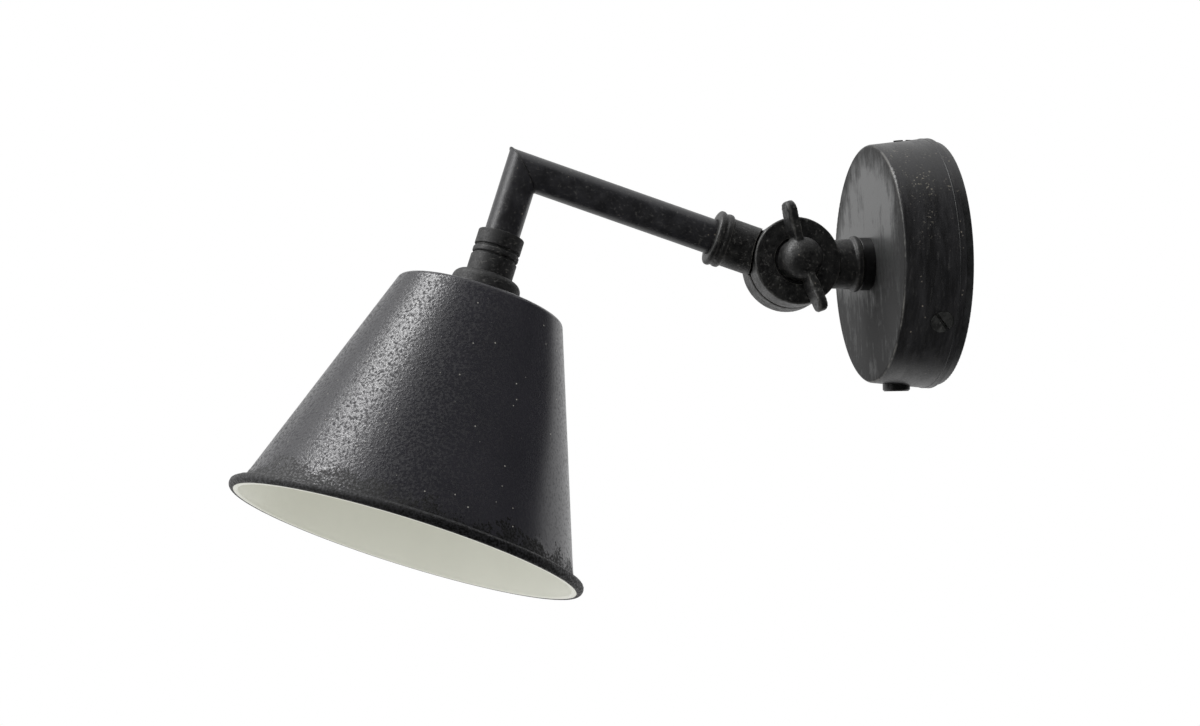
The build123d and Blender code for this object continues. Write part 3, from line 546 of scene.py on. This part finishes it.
seam_braze = blackened("blackened braze", ground="#0b0b0c", bloom="#1b1b1c", smooth=0.3, rough=0.6, cloud=2.0,
                       pit=0.5, relief=0.03, rubbed=0.3)
elbow_seam = shown("elbow_seam", form, "arm", seam_braze)

# ---- Coupler and cap --------------------------------------------------------------------------------------
# The grooved coupler and the flared cap over the shade are turned brass. They are blackened over fine tool
# rings, with scratches down to paler metal.
coupler_brass = blackened("blackened turned coupler", ground="#121213", bloom="#222223", smooth=0.5,
                          rough=0.78, cloud=5.0, pit=0.8, relief=0.06, rubbed=0.42, rub_way=(0.6, 0.6, 1.6))
finish_node("coupler", coupler_brass)
finish_node("shade_cap", coupler_brass)

# ---- Shade ------------------------------------------------------------------------------------------------
# A steel cone spun over a chuck, its foot rolled over a wire into a bead. Outside it has thick black lacquer
# that dried pitted and gathered in a crust above the bead. Inside and round the lip it has off-white enamel.
mount_below_top = 35.6
shade_hang = (Matrix.Translation(Vector(bulb_mount["pos_m"]) - drop_way * mount_below_top * MM)
              @ Vector((0, 0, 1)).rotation_difference(drop_way).to_matrix().to_4x4())
cone_top, cone_foot, cone_depth = 37.6, 76.2, 110.6
sheet = 1.0
slope = (cone_foot - cone_top) / cone_depth
lean = math.atan(slope)
bead_centre, bead_round = (cone_foot + 1.98, cone_depth), 2.37
bead_meets_cone = 109.8
lip_start, lip_centre, lip_round = (78.05, 112.7), (76.85, 111.85), 1.12


def curl(centre, radius, start, end, count):
    """Points of an arc in an outline, from one angle to another in degrees."""
    turns = [math.radians(start + (end - start) * k / count) for k in range(count + 1)]
    return [(centre[0] + radius * math.cos(t), centre[1] + radius * math.sin(t)) for t in turns]


def spun(outline, columns):
    """A closed ring spun from an outline of (radius, depth) in millimetres, with its depth along Z."""
    form = bmesh.new()
    points = [form.verts.new((radius * MM, 0, depth * MM)) for radius, depth in outline]
    for first, second in zip(points, points[1:] + points[:1]):
        form.edges.new((first, second))
    bmesh.ops.spin(form, geom=form.verts[:] + form.edges[:], cent=(0, 0, 0), axis=(0, 0, 1), angle=math.tau,
                   steps=columns, use_merge=True)
    bmesh.ops.remove_doubles(form, verts=form.verts, dist=1e-7)
    bmesh.ops.recalc_face_normals(form, faces=form.faces)
    return form


def cone_wall(depth):
    """The cone's outer radius at a depth below its top, both in millimetres."""
    return cone_top + slope * depth


across = sheet / math.cos(lean)
hole, flat_end, shoulder, shoulder_round = 5.3, 32, (35.75, 2.6), 2.6
wide_rows = [3.5 + 1.85 * k for k in range(49)]
close_rows = [93.4 + 0.55 * k for k in range(30)]
inner_rows = (110.6, 108, 100, 90, 80, 70, 60, 50, 40, 30, 20, 10, 4)
outline = [(hole, 0), (20, 0), (flat_end, 0)] + curl(shoulder, shoulder_round, -90, -math.degrees(lean), 8)
outline += [(cone_wall(depth), depth) for depth in wide_rows + close_rows]
outline += curl(bead_centre, bead_round, -158, 78, 22)
outline += [lip_start] + curl(lip_centre, lip_round, 62, 180, 9)
outline += [(cone_wall(depth) - across, depth) for depth in inner_rows]
outline += curl(shoulder, shoulder_round - sheet, -math.degrees(lean), -90, 6)
outline += [(flat_end, sheet), (20, sheet), (hole, sheet)]
form = spun(outline, 320)
above_bead = form.verts.layers.float.new("above_bead")
pitted = form.verts.layers.float.new("pitted")
pitted_side, pitted_least = math.radians(50), 0.2
crust_least, crust_spread, crust_height, crust_lump = 1.5, 16.0, 0.22, 1.1
crust_patch, patch_shift = 16, Vector((3.1, 0.4, 7.7))
wave_height, wave_size = 0.025, 12
far_from_bead = 200.0
for vert in form.verts:
    reach, depth = math.hypot(vert.co.x, vert.co.y) / MM, vert.co.z / MM
    outside = reach > cone_wall(depth) - 0.4
    vert[above_bead] = (bead_meets_cone - depth) if outside else far_from_bead
    side = math.cos(math.atan2(vert.co.y, vert.co.x) - pitted_side)
    vert[pitted] = min(1.0, max(pitted_least, pitted_least + (1 - pitted_least) * (side - 0.32) / 0.5))
    if outside and 3.0 < depth < bead_meets_cone:
        ragged = max(0.0, noise.noise(vert.co / (crust_patch * MM) + patch_shift) + 0.12)
        crust = min(1.0, max(0.0, crust_least + crust_spread * ragged - vert[above_bead]))
        lumps = 0.5 + 0.5 * noise.noise(vert.co / (crust_lump * MM))
        waves = wave_height * noise.noise(vert.co / (wave_size * MM))
        vert.co += vert.normal * MM * (crust_height * crust * lumps + waves)
for face in form.faces:
    face.smooth = True
    middle = face.calc_center_median() / MM
    reach = math.hypot(middle.x, middle.y)
    inside = (0.5 < middle.z and reach < cone_wall(middle.z) - 0.5) or (middle.z > 111.0 and reach < 78.1)
    face.material_index = 1 if inside and middle.z > 0.8 else 0
form.transform(shade_hang)

# Black stoving lacquer on steel: it shines softly, its pits of about a millimetre break the shine into
# grains, and the crust over the bead is matt and nearly black. A little pale dust sits in it.
lacquer = bpy.data.materials.new("pitted black lacquer on spun steel")
lacquer.use_nodes = True
tree = lacquer.node_tree
shader = tree.nodes["Principled BSDF"]
place = add(tree, "TexCoord")
pits = add(tree, "TexNoise", {"Vector": place.outputs["Object"], "Scale": grain(1.3), "Detail": 3.0,
                              "Roughness": 0.65})
areas = add(tree, "TexNoise", {"Vector": place.outputs["Object"], "Scale": grain(26), "Detail": 3.0})
height = add(tree, "Attribute", attribute_name="above_bead")
ragged = add(tree, "TexNoise", {"Vector": place.outputs["Object"], "Scale": grain(11), "Detail": 6.0,
                                "Roughness": 0.7})
edge = add(tree, "MapRange", {"Value": ragged.outputs["Fac"], "From Min": 0.40, "From Max": 0.66,
                              "To Min": 2.2, "To Max": 13.0})
flecks = add(tree, "TexNoise", {"Vector": place.outputs["Object"], "Scale": grain(1.0), "Detail": 2.0})
grains = add(tree, "MapRange", {"Value": flecks.outputs["Fac"], "From Min": 0.3, "From Max": 0.7,
                                "To Min": -3.0, "To Max": 3.0})
below = add(tree, "Math", {0: edge.outputs[0], 1: height.outputs["Fac"]}, operation="SUBTRACT")
below = add(tree, "Math", {0: below.outputs[0], 1: grains.outputs[0]}, operation="ADD")
flecked = add(tree, "MapRange", {"Value": flecks.outputs["Fac"], "From Min": 0.40, "From Max": 0.56,
                                 "To Min": 0.35})
solid = add(tree, "MapRange", {"Value": below.outputs[0], "From Min": -0.7, "From Max": 0.7})
crusted = add(tree, "Math", {0: solid.outputs[0], 1: flecked.outputs[0]}, operation="MULTIPLY")
toned = add(tree, "Mix", {0: areas.outputs["Fac"], 6: ink("#1f1f24"), 7: ink("#2a292f")}, data_type="RGBA")
dust = add(tree, "TexVoronoi", {"Vector": place.outputs["Object"], "Scale": grain(6)})
dusty = add(tree, "MapRange", {"Value": dust.outputs["Distance"], "From Min": 0.07, "From Max": 0.04})
dusted = add(tree, "Mix", {0: dusty.outputs[0], 6: toned.outputs[2], 7: ink("#8d8b85")}, data_type="RGBA")
colour = add(tree, "Mix", {0: crusted.outputs[0], 6: dusted.outputs[2], 7: ink("#070708")}, data_type="RGBA")
tree.links.new(colour.outputs[2], shader.inputs["Base Color"])
much = add(tree, "Attribute", attribute_name="pitted")
dull = add(tree, "MapRange", {"Value": much.outputs["Fac"], "To Min": 0.38, "To Max": 0.76})
matt = add(tree, "MapRange", {"Value": pits.outputs["Fac"], "From Min": 0.36, "From Max": 0.52,
                              "To Min": dull.outputs[0], "To Max": 0.28})
rough = add(tree, "Mix", {0: crusted.outputs[0], 2: matt.outputs[0], 3: 0.72})
tree.links.new(rough.outputs[0], shader.inputs["Roughness"])
deep = add(tree, "Math", {0: crusted.outputs[0], 1: much.outputs["Fac"]}, operation="MAXIMUM")
skin = add(tree, "Bump", {"Height": pits.outputs["Fac"], "Distance": 0.22 * MM, "Strength": deep.outputs[0]})
tree.links.new(skin.outputs[0], shader.inputs["Normal"])

# Off-white vitreous enamel: it pools a little unevenly, which shows as faint yellowish clouds.
enamel = bpy.data.materials.new("off-white vitreous enamel")
enamel.use_nodes = True
tree = enamel.node_tree
shader = tree.nodes["Principled BSDF"]
place = add(tree, "TexCoord")
pools = add(tree, "TexNoise", {"Vector": place.outputs["Object"], "Scale": grain(30), "Detail": 3.0})
colour = add(tree, "Mix", {0: pools.outputs["Fac"], 6: ink("#dfe0d5"), 7: ink("#e8e9df")}, data_type="RGBA")
tree.links.new(colour.outputs[2], shader.inputs["Base Color"])
peel = add(tree, "TexNoise", {"Vector": place.outputs["Object"], "Scale": grain(2.4), "Detail": 1.0})
skin = add(tree, "Bump", {"Height": peel.outputs["Fac"], "Distance": 0.02 * MM})
tree.links.new(skin.outputs[0], shader.inputs["Normal"])
shine = add(tree, "MapRange", {"Value": pools.outputs["Fac"], "To Min": 0.3, "To Max": 0.42})
tree.links.new(shine.outputs[0], shader.inputs["Roughness"])

spun_shade = shown("spun_shade", form, "arm", lacquer, enamel)
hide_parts("shade")

# ---- Lampholder -------------------------------------------------------------------------------------------
# A small black moulded holder on its nipple under the shade's top. A white porcelain insert in it holds a
# brass screw shell and a sprung contact. Its glaze is smooth and a little warm.
finish_node("shade_locknut", zinc_steel)
finish_node("holder_nipple", turned_brass)
finish_node("holder_cap", black_moulding)
finish_node("holder_body", black_moulding)
finish_node("holder_insert", mottled("glazed porcelain", "#dcd7c9", "#e9e5da", 0.18, marks=2.0, detail=3.0))
finish_node("screw_shell", turned_brass)
finish_node("centre_contact", turned_brass)
